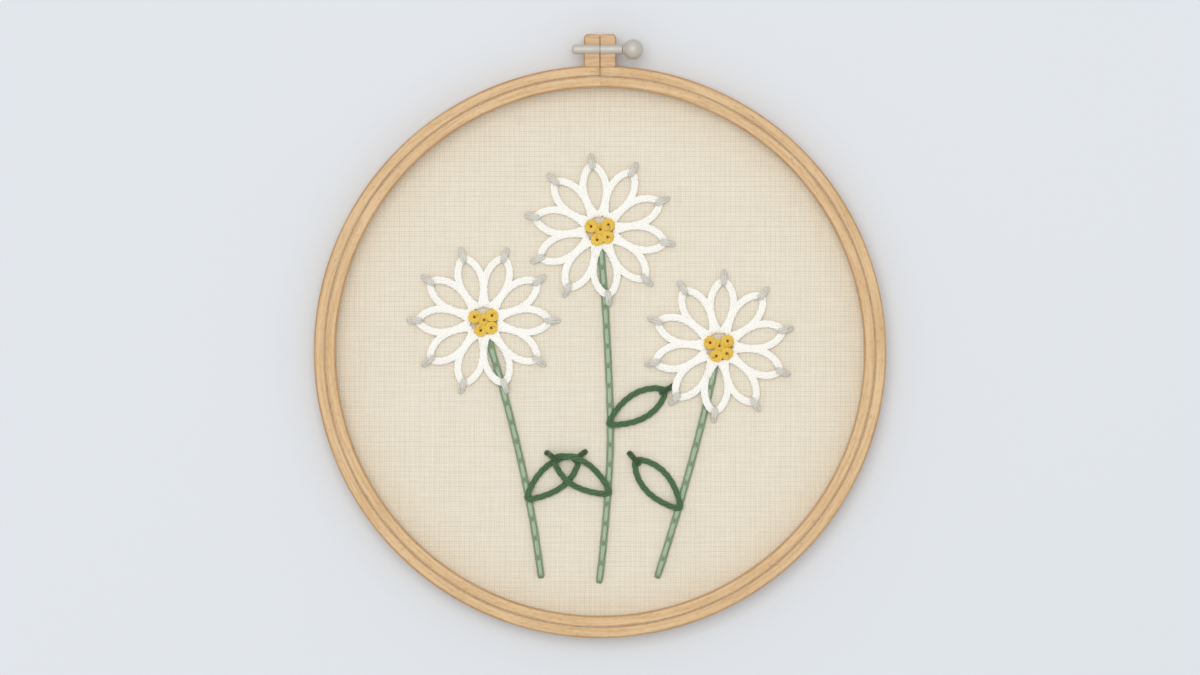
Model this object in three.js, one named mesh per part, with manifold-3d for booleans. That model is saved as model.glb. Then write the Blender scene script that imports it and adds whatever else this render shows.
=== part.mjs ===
// Daisies embroidered on linen, stretched in a wooden hoop that lies on its back.
// Millimetres, +Z up. The origin is the hoop's centre, on the surface under it, and +Y points to the clamp.
// The linen passes under the inner ring and up between the two rings, so both rings show from the front.

import * as THREE from 'three';
import { mergeVertices } from 'three/addons/utils/BufferGeometryUtils.js';
import Module from 'manifold-3d';

const wasm = await Module();
wasm.setup();

const GAP = 0.3; // air between two pieces that touch

// Hoop
const HOOP_SIZE = 203; // the 8 inches it is sold by: the diameter of the line where the rings meet
const RING_WALL = 4; // from that line to the outer or inner edge of the wood
const RING_DEPTH = 10;
const RING_CHAMFER = 0.5;
const RING_FLATS = 64; // straight steps round a circle
const SPLIT = 0.8; // slit through the outer ring and its clamp

// Linen
const LINEN = 1;
const TRIM_BELOW_FRONT = 0.8; // the cut edge lies this far below the rings' front faces
const FOLD_RADIUS = 1.2; // outside of the turn from the face into the seam

// Clamp: two ears, a metal barrel across each, and the screw through both
const TAB_WIDTH = 11.8;
const TAB_HEIGHT = 11.6; // beyond the outer ring
const TAB_CORNER = 1.5;
const TAB_BEVEL = 0.4;
const BARREL_RADIUS = 1.85;
const BARREL_REACH = 10.5; // of the left barrel's closed end, from the split
const BARREL_END_WALL = 1.5;
const BARREL_ROUNDING = 0.5;
const BARREL_SINK = 0.4; // of the screw's axis, below the ears' front faces
const AXIS_BEYOND_RING = 6;
const SCREW_RADIUS = 1.1;
const KNOB_RADIUS = 3.7;
const KNOB_REACH = 12.2; // of the knob's centre, from the split
const COLLAR = 0.6; // the knob's neck, as wide as a barrel
const ROUND_FLATS = 16;
const KNOB_STEPS = 5; // from the collar to the knob's far end

// Threads, as they lie on the linen
const PETAL_THREAD = { width: 2.3, height: 2.1 };
const LEAF_THREAD = { width: 2.1, height: 2.0 };
const TIE_THREAD = { width: 2.2, height: 2.9 };
const STEM_CORD = { width: 2.9, height: 1.1 };
const STEM_STITCH = { width: 1.6, height: 1.7 };
const STITCH_LENGTH = 5.6;
const STITCH_PITCH = 7.3;
const STITCH_INSET = 0.85; // of the last stitch, from the stem's foot
const STEM_STEP = 12; // between the bends of the laid cord
const LOOP_STEPS = 5; // along one edge of a chain loop

// A chain loop is two edges that part at its base and meet at its tip. A short tie holds the tip down.
const PETAL = { start: 5.5, tip: 23.8, halfWidth: 4.2, skew: 1.16, fullness: 1 };
const PETAL_TIE = { start: 22.5, end: 28.4 };
const PETALS = 10;
const LEAF = { start: 0, tip: 23.2, halfWidth: 4.8, skew: 1.2, fullness: 0.75 };
const LEAF_TIE = { start: 21.6, end: 27.6 };

// A French knot is a low bun with a dimple where the needle went down.
const KNOT_RADIUS = 2.4;
const KNOT_HEIGHT = 2.8;
const KNOT_SIDES = 7;
const KNOTS = [
  { x: -3.2, y: 1.3 },
  { x: 3.1, y: 1.9 },
  { x: -1.0, y: -3.6 },
  { x: 2.9, y: -2.7 },
  { x: 0.2, y: 0.2 },
];

// turn is the heading of a daisy's first petal, and bend and foot shape the stem that hangs from it.
const DAISIES = [
  { name: 'left', x: -43, y: 11.5, turn: 0, bend: { x: -26, y: -45 }, foot: { x: -21.5, y: -83.4 } },
  { name: 'middle', x: 0, y: 45, turn: 25, bend: { x: 7, y: -33 }, foot: { x: 0, y: -85.3 } },
  { name: 'right', x: 44, y: 2, turn: 14, bend: { x: 35, y: -40 }, foot: { x: 21, y: -83.4 } },
];
const STEM_START = 7.5; // from the daisy's centre

// along is the share of the stem's length above the leaf. The lower leaf of a crossing pair comes first.
const LEAVES = [
  { name: 'leaf_left', stem: 'left', along: 0.668, heading: 38 },
  { name: 'leaf_middle_low', stem: 'middle', along: 0.731, heading: 147.5 },
  { name: 'leaf_middle_high', stem: 'middle', along: 0.52, heading: 32 },
  { name: 'leaf_right', stem: 'right', along: 0.662, heading: 133 },
];

// Where threads cross, the lower one is pressed down to this height and the upper one starts a gap above it.
const UNDER_LOOP = 2.0;
const UNDER_TIE = 2.9;

const SEAM_RADIUS = HOOP_SIZE / 2;
const RIM_RADIUS = SEAM_RADIUS + RING_WALL;
const WELL_RADIUS = SEAM_RADIUS - RING_WALL;
const LINEN_OUTSIDE = SEAM_RADIUS + LINEN / 2;
const LINEN_INSIDE = SEAM_RADIUS - LINEN / 2;
const STITCH_BASE = LINEN + GAP;
const AXIS_Y = RIM_RADIUS + AXIS_BEYOND_RING;
const AXIS_Z = RING_DEPTH - BARREL_SINK;

const wood = new THREE.MeshStandardMaterial({ color: 0xd9b88d, roughness: 0.62, metalness: 0 });
const nickel = new THREE.MeshStandardMaterial({ color: 0xcfc8bb, roughness: 0.38, metalness: 0.85 });
const linenCloth = new THREE.MeshStandardMaterial({ color: 0xe5dbc5, roughness: 0.92, metalness: 0 });
const petalYarn = new THREE.MeshStandardMaterial({ color: 0xfdf9f0, roughness: 0.8, metalness: 0 });
const tieYarn = new THREE.MeshStandardMaterial({ color: 0xc4c4c0, roughness: 0.8, metalness: 0 });
const knotYarn = new THREE.MeshStandardMaterial({ color: 0xe5b93d, roughness: 0.8, metalness: 0 });
const stemYarn = new THREE.MeshStandardMaterial({ color: 0x84a285, roughness: 0.8, metalness: 0 });
const leafYarn = new THREE.MeshStandardMaterial({ color: 0x4a7049, roughness: 0.8, metalness: 0 });
const leafTieYarn = new THREE.MeshStandardMaterial({ color: 0x3a5c3a, roughness: 0.8, metalness: 0 });

// Solids

function toSolid(geometry) {
  const bare = geometry.index ? geometry.toNonIndexed() : geometry.clone();
  bare.deleteAttribute('normal');
  bare.deleteAttribute('uv');
  const merged = mergeVertices(bare, 1e-3);
  return new wasm.Manifold(new wasm.Mesh({
    numProp: 3,
    vertProperties: merged.attributes.position.array,
    triVerts: new Uint32Array(merged.index.array),
  }));
}

function toMesh(name, solid, material) {
  const { vertProperties, triVerts } = solid.getMesh();
  const geometry = new THREE.BufferGeometry();
  geometry.setAttribute('position', new THREE.BufferAttribute(new Float32Array(vertProperties), 3));
  geometry.setIndex(new THREE.BufferAttribute(new Uint32Array(triVerts), 1));
  geometry.computeVertexNormals();
  const mesh = new THREE.Mesh(geometry, material);
  mesh.name = name;
  return mesh;
}

function joined(solids) {
  return solids.reduce((whole, solid) => whole.add(solid));
}

// A turned shape about +Z. The profile's points are [radius, height] and run with the material on their left.
function turned(profile, flats) {
  const points = profile.map(([radius, height]) => new THREE.Vector2(radius, height));
  return toSolid(new THREE.LatheGeometry(points, flats).rotateX(Math.PI / 2));
}

// A turned shape about the screw's axis. The profile's points are [radius, x].
function turnedOnScrewAxis(profile) {
  const points = profile.map(([radius, x]) => new THREE.Vector2(radius, x));
  const geometry = new THREE.LatheGeometry(points, ROUND_FLATS);
  geometry.rotateZ(-Math.PI / 2).translate(0, AXIS_Y, AXIS_Z);
  return toSolid(geometry);
}

function block(width, length, height, x, y, z) {
  return toSolid(new THREE.BoxGeometry(width, length, height).translate(x, y, z));
}

// The hoop

function ringProfile(inner, outer, bottom) {
  const c = RING_CHAMFER;
  const top = RING_DEPTH;
  return [
    [inner, bottom], [outer - c, bottom], [outer, bottom + c], [outer, top - c],
    [outer - c, top], [inner + c, top], [inner, top - c], [inner, bottom],
  ];
}

function innerRing() {
  return turned(ringProfile(WELL_RADIUS, LINEN_INSIDE - GAP, STITCH_BASE), RING_FLATS);
}

function outerRing() {
  const ring = turned(ringProfile(LINEN_OUTSIDE + GAP, RIM_RADIUS, 0), RING_FLATS);
  const slit = block(SPLIT, 4 * RING_WALL, 2 * RING_DEPTH, 0, SEAM_RADIUS, RING_DEPTH / 2);
  return ring.subtract(slit);
}

// One half of the tab that stands on the outer ring's end. side is -1 for the left ear and 1 for the right.
function ear(side) {
  const foot = RIM_RADIUS + GAP;
  const top = RIM_RADIUS + TAB_HEIGHT;
  const near = SPLIT / 2;
  const far = TAB_WIDTH / 2;
  const outline = new THREE.Shape();
  outline.moveTo(near, foot);
  outline.lineTo(far, foot);
  outline.lineTo(far, top - TAB_CORNER);
  outline.absarc(far - TAB_CORNER, top - TAB_CORNER, TAB_CORNER, 0, Math.PI / 2, false);
  outline.lineTo(near, top);
  const geometry = new THREE.ExtrudeGeometry(outline, {
    depth: RING_DEPTH - 2 * TAB_BEVEL,
    bevelEnabled: true,
    bevelThickness: TAB_BEVEL,
    bevelSize: TAB_BEVEL,
    bevelOffset: -TAB_BEVEL,
    bevelSegments: 1,
    curveSegments: 4,
  });
  geometry.translate(0, 0, TAB_BEVEL);
  if (side < 0) {
    geometry.rotateY(Math.PI).translate(0, 0, RING_DEPTH);
  }
  const groove = turnedOnScrewAxis([
    [0, -TAB_WIDTH], [BARREL_RADIUS + GAP, -TAB_WIDTH], [BARREL_RADIUS + GAP, TAB_WIDTH], [0, TAB_WIDTH],
  ]);
  return toSolid(geometry).subtract(groove);
}

// The left barrel is closed at its outer end, where the thread runs out. The right one is a plain sleeve.
function leftBarrel() {
  const bore = SCREW_RADIUS + GAP;
  const end = -BARREL_REACH;
  const bottom = end + BARREL_END_WALL;
  return turnedOnScrewAxis([
    [0, end], [BARREL_RADIUS - BARREL_ROUNDING, end], [BARREL_RADIUS, end + BARREL_ROUNDING],
    [BARREL_RADIUS, -SPLIT / 2], [bore, -SPLIT / 2], [bore, bottom], [0, bottom],
  ]);
}

function rightBarrel() {
  const bore = SCREW_RADIUS + GAP;
  const end = KNOB_REACH - KNOB_RADIUS - GAP;
  return turnedOnScrewAxis([
    [bore, SPLIT / 2], [BARREL_RADIUS, SPLIT / 2], [BARREL_RADIUS, end], [bore, end], [bore, SPLIT / 2],
  ]);
}

// The screw: a shaft, the collar that bears on the right barrel, and a ball knob.
function clampScrew() {
  const shaftEnd = -BARREL_REACH + BARREL_END_WALL + GAP;
  const collarStart = KNOB_REACH - KNOB_RADIUS;
  const profile = [
    [0, shaftEnd], [SCREW_RADIUS, shaftEnd], [SCREW_RADIUS, collarStart],
    [BARREL_RADIUS, collarStart], [BARREL_RADIUS, collarStart + COLLAR],
  ];
  const first = Math.asin(BARREL_RADIUS / KNOB_RADIUS) + 0.1;
  for (let i = 0; i < KNOB_STEPS; i++) {
    const turn = first + (Math.PI - first) * (i / KNOB_STEPS);
    profile.push([KNOB_RADIUS * Math.sin(turn), KNOB_REACH - KNOB_RADIUS * Math.cos(turn)]);
  }
  profile.push([0, KNOB_REACH + KNOB_RADIUS]);
  return turnedOnScrewAxis(profile);
}

function linen() {
  const edge = RING_DEPTH - TRIM_BELOW_FRONT;
  const turn = 0.3 * FOLD_RADIUS;
  return turned([
    [0, 0], [LINEN_OUTSIDE - FOLD_RADIUS, 0], [LINEN_OUTSIDE - turn, turn], [LINEN_OUTSIDE, FOLD_RADIUS],
    [LINEN_OUTSIDE, edge], [LINEN_INSIDE, edge], [LINEN_INSIDE, LINEN], [0, LINEN],
  ], RING_FLATS);
}

// Threads

// One edge of a chain loop, from its base to its tip, swelling to one side of the loop's own axis.
class LoopEdge extends THREE.Curve {
  constructor(loop, place, side) {
    super();
    Object.assign(this, { loop, place, side });
  }

  getPoint(share, target = new THREE.Vector3()) {
    const { start, tip, halfWidth, skew, fullness } = this.loop;
    const swell = Math.max(0, Math.sin(Math.PI * share ** skew)) ** fullness;
    return onHeading(this.place, start + (tip - start) * share, this.side * halfWidth * swell, target);
  }
}

// A stretch of another curve, between two shares of its length.
class Stretch extends THREE.Curve {
  constructor(whole, from, to) {
    super();
    Object.assign(this, { whole, from, to });
  }

  getPoint(share, target = new THREE.Vector3()) {
    return this.whole.getPointAt(this.from + (this.to - this.from) * share, target);
  }
}

// The point that lies so far along a heading from a place, and so far to its left.
function onHeading(place, along, left, target = new THREE.Vector3()) {
  const angle = THREE.MathUtils.degToRad(place.heading);
  return target.set(
    place.x + along * Math.cos(angle) - left * Math.sin(angle),
    place.y + along * Math.sin(angle) + left * Math.cos(angle),
    0,
  );
}

// A thread laid on the linen along a flat curve. Its section is a low trapezium, with its height along -x.
function strand(curve, thread, steps, grow) {
  const half = thread.width / 2 + grow;
  const height = thread.height + 2 * grow;
  const section = new THREE.Shape([
    new THREE.Vector2(0, -half),
    new THREE.Vector2(0, half),
    new THREE.Vector2(-height, 0.5 * half),
    new THREE.Vector2(-height, -0.5 * half),
  ]);
  const geometry = new THREE.ExtrudeGeometry(section, { steps, extrudePath: curve });
  return toSolid(geometry.translate(0, 0, STITCH_BASE - grow));
}

function chainLoop(loop, place, thread, grow) {
  const edges = [-1, 1].map((side) => new LoopEdge(loop, place, side));
  return joined(edges.map((edge) => strand(edge, thread, LOOP_STEPS, grow)));
}

function tie({ start, end }, place, grow) {
  const from = onHeading(place, start - grow, 0);
  const to = onHeading(place, end + grow, 0);
  return strand(new THREE.LineCurve3(from, to), TIE_THREAD, 1, grow);
}

function knot({ x, y }, grow) {
  const r = KNOT_RADIUS + grow;
  const h = KNOT_HEIGHT + grow;
  const profile = [[0, -grow], [0.8 * r, -grow], [r, 0.45 * h], [0.55 * r, h], [0, 0.7 * h]];
  const points = profile.map(([radius, height]) => new THREE.Vector2(radius, height));
  const bun = new THREE.LatheGeometry(points, KNOT_SIDES).rotateX(Math.PI / 2);
  return toSolid(bun.translate(x, y, STITCH_BASE));
}

function stemCurve({ x, y, bend, foot }) {
  const centre = new THREE.Vector3(x, y, 0);
  const control = new THREE.Vector3(bend.x, bend.y, 0);
  const head = control.clone().sub(centre).setLength(STEM_START).add(centre);
  return new THREE.QuadraticBezierCurve3(head, control, new THREE.Vector3(foot.x, foot.y, 0));
}

// A laid cord with a line of stitches on top of it.
function stem(curve, grow) {
  const length = curve.getLength();
  const steps = Math.round(length / STEM_STEP);
  const pieces = [strand(curve, STEM_CORD, steps, grow)];
  const count = Math.floor((length - STITCH_INSET - STITCH_LENGTH) / STITCH_PITCH) + 1;
  for (let i = 0; i < count; i++) {
    const end = length - STITCH_INSET - i * STITCH_PITCH;
    const stretch = new Stretch(curve, (end - STITCH_LENGTH) / length, end / length);
    pieces.push(strand(stretch, STEM_STITCH, 1, grow));
  }
  return joined(pieces);
}

// A thread piece keeps its own shape and the same shape grown by the gap, which its neighbours are cut with.
function threadPiece(name, material, make) {
  return { name, material, solid: make(0), grown: make(GAP) };
}

const above = (z) => block(4 * RIM_RADIUS, 4 * RIM_RADIUS, RIM_RADIUS, 0, 0, z + RIM_RADIUS / 2);
const below = (z) => block(4 * RIM_RADIUS, 4 * RIM_RADIUS, RIM_RADIUS, 0, 0, z - RIM_RADIUS / 2);

// Lets the upper thread arch over the lower one at the given height.
function crossOver(lower, upper, height) {
  lower.solid = lower.solid.subtract(upper.grown.intersect(above(height)));
  upper.solid = upper.solid.subtract(lower.grown.intersect(below(height + GAP)));
}

function daisyPieces(daisy) {
  const headings = Array.from({ length: PETALS }, (_, i) => daisy.turn + (360 / PETALS) * i);
  const places = headings.map((heading) => ({ x: daisy.x, y: daisy.y, heading }));
  const petals = threadPiece(`daisy_${daisy.name}_petals`, petalYarn, (grow) => (
    joined(places.map((place) => chainLoop(PETAL, place, PETAL_THREAD, grow)))
  ));
  const ties = places.map((place, i) => (
    threadPiece(`daisy_${daisy.name}_tie_${i + 1}`, tieYarn, (grow) => tie(PETAL_TIE, place, grow))
  ));
  const knots = threadPiece(`daisy_${daisy.name}_knots`, knotYarn, (grow) => (
    joined(KNOTS.map(({ x, y }) => knot({ x: daisy.x + x, y: daisy.y + y }, grow)))
  ));
  petals.solid = petals.solid.subtract(knots.grown);
  ties.forEach((piece) => crossOver(petals, piece, UNDER_TIE));
  return { petals, ties, knots };
}

function leafPieces({ name, stem: stemName, along, heading }, curves) {
  const root = curves[stemName].getPointAt(along);
  const place = { x: root.x, y: root.y, heading };
  const loop = threadPiece(name, leafYarn, (grow) => chainLoop(LEAF, place, LEAF_THREAD, grow));
  const end = threadPiece(`${name}_tie`, leafTieYarn, (grow) => tie(LEAF_TIE, place, grow));
  crossOver(loop, end, UNDER_TIE);
  return { loop, end };
}

function embroidery() {
  const curves = Object.fromEntries(DAISIES.map((daisy) => [daisy.name, stemCurve(daisy)]));
  const flowers = Object.fromEntries(DAISIES.map((daisy) => [daisy.name, daisyPieces(daisy)]));
  const stems = Object.fromEntries(DAISIES.map(({ name }) => [
    name,
    threadPiece(`stem_${name}`, stemYarn, (grow) => stem(curves[name], grow)),
  ]));
  const leaves = Object.fromEntries(LEAVES.map((leaf) => [leaf.name, leafPieces(leaf, curves)]));

  for (const { name } of DAISIES) {
    const { petals, ties, knots } = flowers[name];
    stems[name].solid = stems[name].solid.subtract(knots.grown);
    crossOver(stems[name], petals, UNDER_LOOP);
    ties.forEach((piece) => crossOver(stems[name], piece, UNDER_LOOP));
  }
  for (const { name, stem: stemName } of LEAVES) {
    crossOver(stems[stemName], leaves[name].loop, UNDER_LOOP);
  }
  // The left leaf runs under the low middle one, whose tie lies over both.
  crossOver(leaves.leaf_left.loop, leaves.leaf_middle_low.loop, UNDER_LOOP);
  crossOver(leaves.leaf_left.loop, leaves.leaf_middle_low.end, UNDER_TIE);
  leaves.leaf_left.end.solid = leaves.leaf_left.end.solid.subtract(leaves.leaf_middle_low.loop.grown);
  // The high middle leaf's tie runs under the right daisy's petals.
  crossOver(leaves.leaf_middle_high.end, flowers.right.petals, UNDER_LOOP);

  return [
    ...Object.values(stems),
    ...Object.values(leaves).flatMap(({ loop, end }) => [loop, end]),
    ...Object.values(flowers).flatMap(({ petals, ties, knots }) => [petals, ...ties, knots]),
  ];
}

// The whole piece

const hoop = new THREE.Group();
hoop.add(
  toMesh('outer_ring', outerRing(), wood),
  toMesh('inner_ring', innerRing(), wood),
  toMesh('ear_left', ear(-1), wood),
  toMesh('ear_right', ear(1), wood),
  toMesh('barrel_left', leftBarrel(), nickel),
  toMesh('barrel_right', rightBarrel(), nickel),
  toMesh('clamp_screw', clampScrew(), nickel),
);

const cloth = new THREE.Group();
cloth.add(toMesh('linen', linen(), linenCloth));
for (const piece of embroidery()) {
  cloth.add(toMesh(piece.name, piece.solid, piece.material));
}

const hoopArt = new THREE.Group();
hoopArt.add(hoop, cloth);

export default hoopArt;
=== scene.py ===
# %% [markdown]
# Daisies on linen in a wooden hoop
#
# The object is a small piece of hoop art: thin wooden rings, a screw clamp, linen stretched like a
# drum skin, and daisies worked on it in detached chain stitch, French knots and a laid cord. The hoop
# lies on its back and is seen from straight above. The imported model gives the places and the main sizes,
# and this lesson dresses it: rounder wood, real thread and woven cloth.

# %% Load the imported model
import math
import random

import bpy
import numpy as np
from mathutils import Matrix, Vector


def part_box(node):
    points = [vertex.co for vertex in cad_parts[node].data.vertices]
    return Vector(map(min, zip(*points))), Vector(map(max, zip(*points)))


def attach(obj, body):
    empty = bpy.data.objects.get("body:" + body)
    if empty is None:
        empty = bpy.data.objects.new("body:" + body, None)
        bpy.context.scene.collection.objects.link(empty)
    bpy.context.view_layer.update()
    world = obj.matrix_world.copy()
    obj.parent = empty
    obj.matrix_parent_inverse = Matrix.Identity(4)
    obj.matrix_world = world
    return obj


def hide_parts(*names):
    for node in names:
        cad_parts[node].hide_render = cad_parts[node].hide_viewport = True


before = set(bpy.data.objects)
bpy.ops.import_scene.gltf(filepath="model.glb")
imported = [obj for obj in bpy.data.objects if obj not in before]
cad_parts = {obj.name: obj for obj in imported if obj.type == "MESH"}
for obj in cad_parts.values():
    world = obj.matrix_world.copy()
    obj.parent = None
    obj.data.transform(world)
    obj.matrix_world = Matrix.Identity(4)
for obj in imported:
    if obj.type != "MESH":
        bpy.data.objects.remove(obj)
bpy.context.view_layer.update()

MM = 0.001

# %% [markdown]
# The camera comes first. The picture is drawn flat, as from very far off, so a long lens far above the
# hoop is the closest real camera. Its field is worked out at the front of the rings: one pixel of the
# picture is as long as the hoop's size divided by the pixels that its seam spans.

# %% Camera straight above
HOOP_SIZE = 203 * MM
FAR_CLIP = 10
SEAM_RADIUS_PX = 275.4
HOOP_CENTRE_PX = (600, 351.8)
PICTURE_PX = (1200, 675)
CAMERA_HEIGHT = 3.0
FILM_WIDTH_MM = 36

ring_low, ring_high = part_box("outer_ring")
RING_FRONT = ring_high.z
pixel = HOOP_SIZE / 2 / SEAM_RADIUS_PX
picture_width = PICTURE_PX[0] * pixel
camera_y = (HOOP_CENTRE_PX[1] - PICTURE_PX[1] / 2) * pixel

camera = bpy.data.objects.new("camera", bpy.data.cameras.new("camera"))
camera.data.sensor_width = FILM_WIDTH_MM
camera.data.lens = FILM_WIDTH_MM * (CAMERA_HEIGHT - RING_FRONT) / picture_width
camera.data.clip_end = FAR_CLIP
camera.location = (0, camera_y, CAMERA_HEIGHT)
bpy.context.scene.collection.objects.link(camera)
bpy.context.scene.camera = camera
print("lens, mm:", round(camera.data.lens, 1))

# %% [markdown]
# Small helpers write node trees in one line a step. Most work in geometry trees and in shader trees,
# because both share the maths nodes. A value may be a plain number or another node's output.

# %% Node helpers
def feed(tree, socket, value):
    if isinstance(value, bpy.types.NodeSocket):
        tree.links.new(value, socket)
    else:
        socket.default_value = value


def feed_all(tree, sockets, values):
    for socket, value in zip(sockets, values):
        feed(tree, socket, value)


def put(tree, kind, inputs=None, **settings):
    node = tree.nodes.new(kind)
    for key, value in settings.items():
        setattr(node, key, value)
    for key, value in (inputs or {}).items():
        feed(tree, node.inputs[key], value)
    return node


def calc(tree, operation, *values):
    node = put(tree, "ShaderNodeMath", operation=operation)
    feed_all(tree, node.inputs, values)
    return node.outputs["Value"]


def plus(tree, base, value, strength):
    """The base value with a share of another value added."""
    return calc(tree, "ADD", base, calc(tree, "MULTIPLY", value, strength))


def vcalc(tree, operation, *values):
    node = put(tree, "ShaderNodeVectorMath", operation=operation)
    second = "Scale" if operation == "SCALE" else 1
    feed_all(tree, (node.inputs[0], node.inputs[second]), values)
    return node.outputs["Vector"]


def xyz(tree, x, y, z):
    return put(tree, "ShaderNodeCombineXYZ", {"X": x, "Y": y, "Z": z}).outputs["Vector"]


def noise(tree, vector, scale, detail, output="Fac"):
    node = put(tree, "ShaderNodeTexNoise", {"Vector": vector, "Scale": scale, "Detail": detail})
    return node.outputs[output]


def ramp(tree, value, low, high):
    """0 at the low value and 1 at the high one, with a smooth step between."""
    node = put(tree, "ShaderNodeMapRange", interpolation_type="SMOOTHSTEP")
    feed_all(tree, node.inputs, (value, low, high, 0.0, 1.0))
    return node.outputs["Result"]


def mixed(tree, share, a, b):
    node = put(tree, "ShaderNodeMix", data_type="RGBA")
    colours = [socket for socket in node.inputs if socket.type == "RGBA"]
    feed_all(tree, [node.inputs[0]] + colours, (share, a, b))
    return [socket for socket in node.outputs if socket.type == "RGBA"][0]


def rgb(red, green, blue):
    """A colour as seen on screen, 0 to 255, in the linear values that Blender mixes."""
    shares = [channel / 255 for channel in (red, green, blue)]
    return tuple(s / 12.92 if s <= 0.04045 else ((s + 0.055) / 1.055) ** 2.4 for s in shares) + (1.0,)


print("helpers ready")

# %% [markdown]
# What more than one finish uses is a node group, which is built once and placed with other values each
# time. The groups for finishes all put out the same three things: a colour, a height and a roughness.

# %% Group helper
SURFACE = {"Color": "Color", "Height": "Float", "Roughness": "Float"}


def new_group(name, given, made=SURFACE, kind="ShaderNodeTree"):
    """An empty node group with named sockets, and the values that it is given."""
    tree = bpy.data.node_groups.new(name, kind)
    for direction, names in (("INPUT", given), ("OUTPUT", made)):
        for label, socket in names.items():
            tree.interface.new_socket(name=label, in_out=direction, socket_type=f"NodeSocket{socket}")
    return tree, put(tree, "NodeGroupInput").outputs


print("a surface group puts out:", ", ".join(SURFACE))

# %% [markdown]
# Wood grain is one node group, because the rings and the ears share it. The grain is noise that is
# stretched far along one direction: wide bands for the growth rings, thin dark pores and a fine brushed
# height. The group reads a vector whose X runs along the grain, so each piece brings its own direction.

# %% Wood grain group
def build_wood_grain():
    tree, given = new_group("wood grain", {"Along Grain": "Vector", "Light": "Color", "Dark": "Color",
                                           "Edge": "Float"})

    def streaks(squeeze, scale, detail):
        stretched = vcalc(tree, "MULTIPLY", given["Along Grain"], (squeeze, 1, 1))
        return noise(tree, stretched, scale, detail)

    bands = ramp(tree, streaks(0.05, 900, 3), 0.32, 0.7)
    fine = streaks(0.02, 5200, 2)
    pores = ramp(tree, streaks(0.12, 3600, 0), 0.66, 0.74)
    clouds = noise(tree, given["Along Grain"], 28, 1)
    shade = calc(tree, "MULTIPLY", bands, 0.42)
    for layer, strength in ((fine, 0.2), (clouds, 0.25), (pores, 0.32)):
        shade = plus(tree, shade, layer, strength)
    grain = mixed(tree, shade, given["Light"], given["Dark"])
    rubbed = vcalc(tree, "MULTIPLY", grain, (0.72, 0.63, 0.52))
    put(tree, "NodeGroupOutput", {
        "Color": mixed(tree, given["Edge"], grain, rubbed),
        "Height": calc(tree, "SUBTRACT", calc(tree, "MULTIPLY", fine, 0.5), pores),
        "Roughness": plus(tree, 0.5, shade, 0.25),
    })
    return tree


wood_grain = build_wood_grain()
print("group:", wood_grain.name)

# %% [markdown]
# A finish is a Principled BSDF whose colour, roughness and bump come from a group. Numbers that are the
# same all over are set on the shader's own sockets. A finish reads the piece's own coordinates or
# attributes, so its pattern stays on the piece when that turns.

# %% Finish helpers
def new_finish(name, **constants):
    material = bpy.data.materials.new(name)
    material.use_nodes = True
    tree = material.node_tree
    shader = tree.nodes["Principled BSDF"]
    for key, value in constants.items():
        shader.inputs[key.replace("_", " ")].default_value = value
    return material, tree, shader


def own_place(tree):
    return put(tree, "ShaderNodeTexCoord").outputs["Object"]


def stored_on(tree, key, output="Fac"):
    return put(tree, "ShaderNodeAttribute", attribute_name=key).outputs[output]


def bump(tree, shader, height, distance, strength=1.0):
    node = put(tree, "ShaderNodeBump", {"Height": height, "Distance": distance, "Strength": strength})
    feed(tree, shader.inputs["Normal"], node.outputs["Normal"])


def dress(tree, shader, group, given, distance, strength=1.0):
    """Feeds the shader from a surface group, and returns the group's colour."""
    made = put(tree, "ShaderNodeGroup", given, node_tree=group).outputs
    feed(tree, shader.inputs["Base Color"], made["Color"])
    feed(tree, shader.inputs["Roughness"], made["Roughness"])
    bump(tree, shader, made["Height"], distance, strength)
    return made["Color"]


print("finish helpers ready")

# %% [markdown]
# The rings are bent strips, so their grain runs round the hoop. Their finish turns the object's X and Y into
# an angle times a radius. The angle jumps at +Y, under the clamp, where a bent ring has its joint anyway.
# The ears are short straight blocks. A stored attribute named edge darkens the rounded corners, as wax and
# fingers do.

# %% Ring wood and ear wood
GRAIN_DEPTH = 0.05 * MM


def round_the_hoop(tree):
    x, y, z = list(put(tree, "ShaderNodeSeparateXYZ", {"Vector": own_place(tree)}).outputs)
    angle = calc(tree, "ARCTAN2", x, calc(tree, "MULTIPLY", y, -1.0))
    squares = calc(tree, "ADD", calc(tree, "MULTIPLY", x, x), calc(tree, "MULTIPLY", y, y))
    return xyz(tree, calc(tree, "MULTIPLY", angle, HOOP_SIZE / 2), calc(tree, "POWER", squares, 0.5), z)


def waxed_beech(name, grain_way, light, dark):
    material, tree, shader = new_finish(name, Coat_Weight=0.12, Coat_Roughness=0.35)
    dress(tree, shader, wood_grain, {"Along Grain": grain_way(tree), "Light": light, "Dark": dark,
                                     "Edge": stored_on(tree, "edge")}, GRAIN_DEPTH)
    return material


bent_beech = waxed_beech("waxed beech, bent", round_the_hoop, rgb(226, 193, 147), rgb(191, 147, 96))
straight_beech = waxed_beech("waxed beech, straight", own_place, rgb(218, 184, 141), rgb(184, 140, 92))
print("finishes:", bent_beech.name, "and", straight_beech.name)

# %% [markdown]
# Every piece rides on a body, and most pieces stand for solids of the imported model. The wood, the metal and
# the linen share one small mesh helper, which can store how worn each point is.

# %% Piece helpers
def finished(name, mesh, material, body, nodes):
    """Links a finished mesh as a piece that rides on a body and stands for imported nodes."""
    piece = bpy.data.objects.new(name, mesh)
    bpy.context.scene.collection.objects.link(piece)
    mesh.materials.clear()
    mesh.materials.append(material)
    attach(piece, body)
    if nodes:
        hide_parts(*nodes)
    triangles = sum(len(face.vertices) - 2 for face in mesh.polygons)
    print(f"{name}: {triangles} triangles")
    return piece


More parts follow.
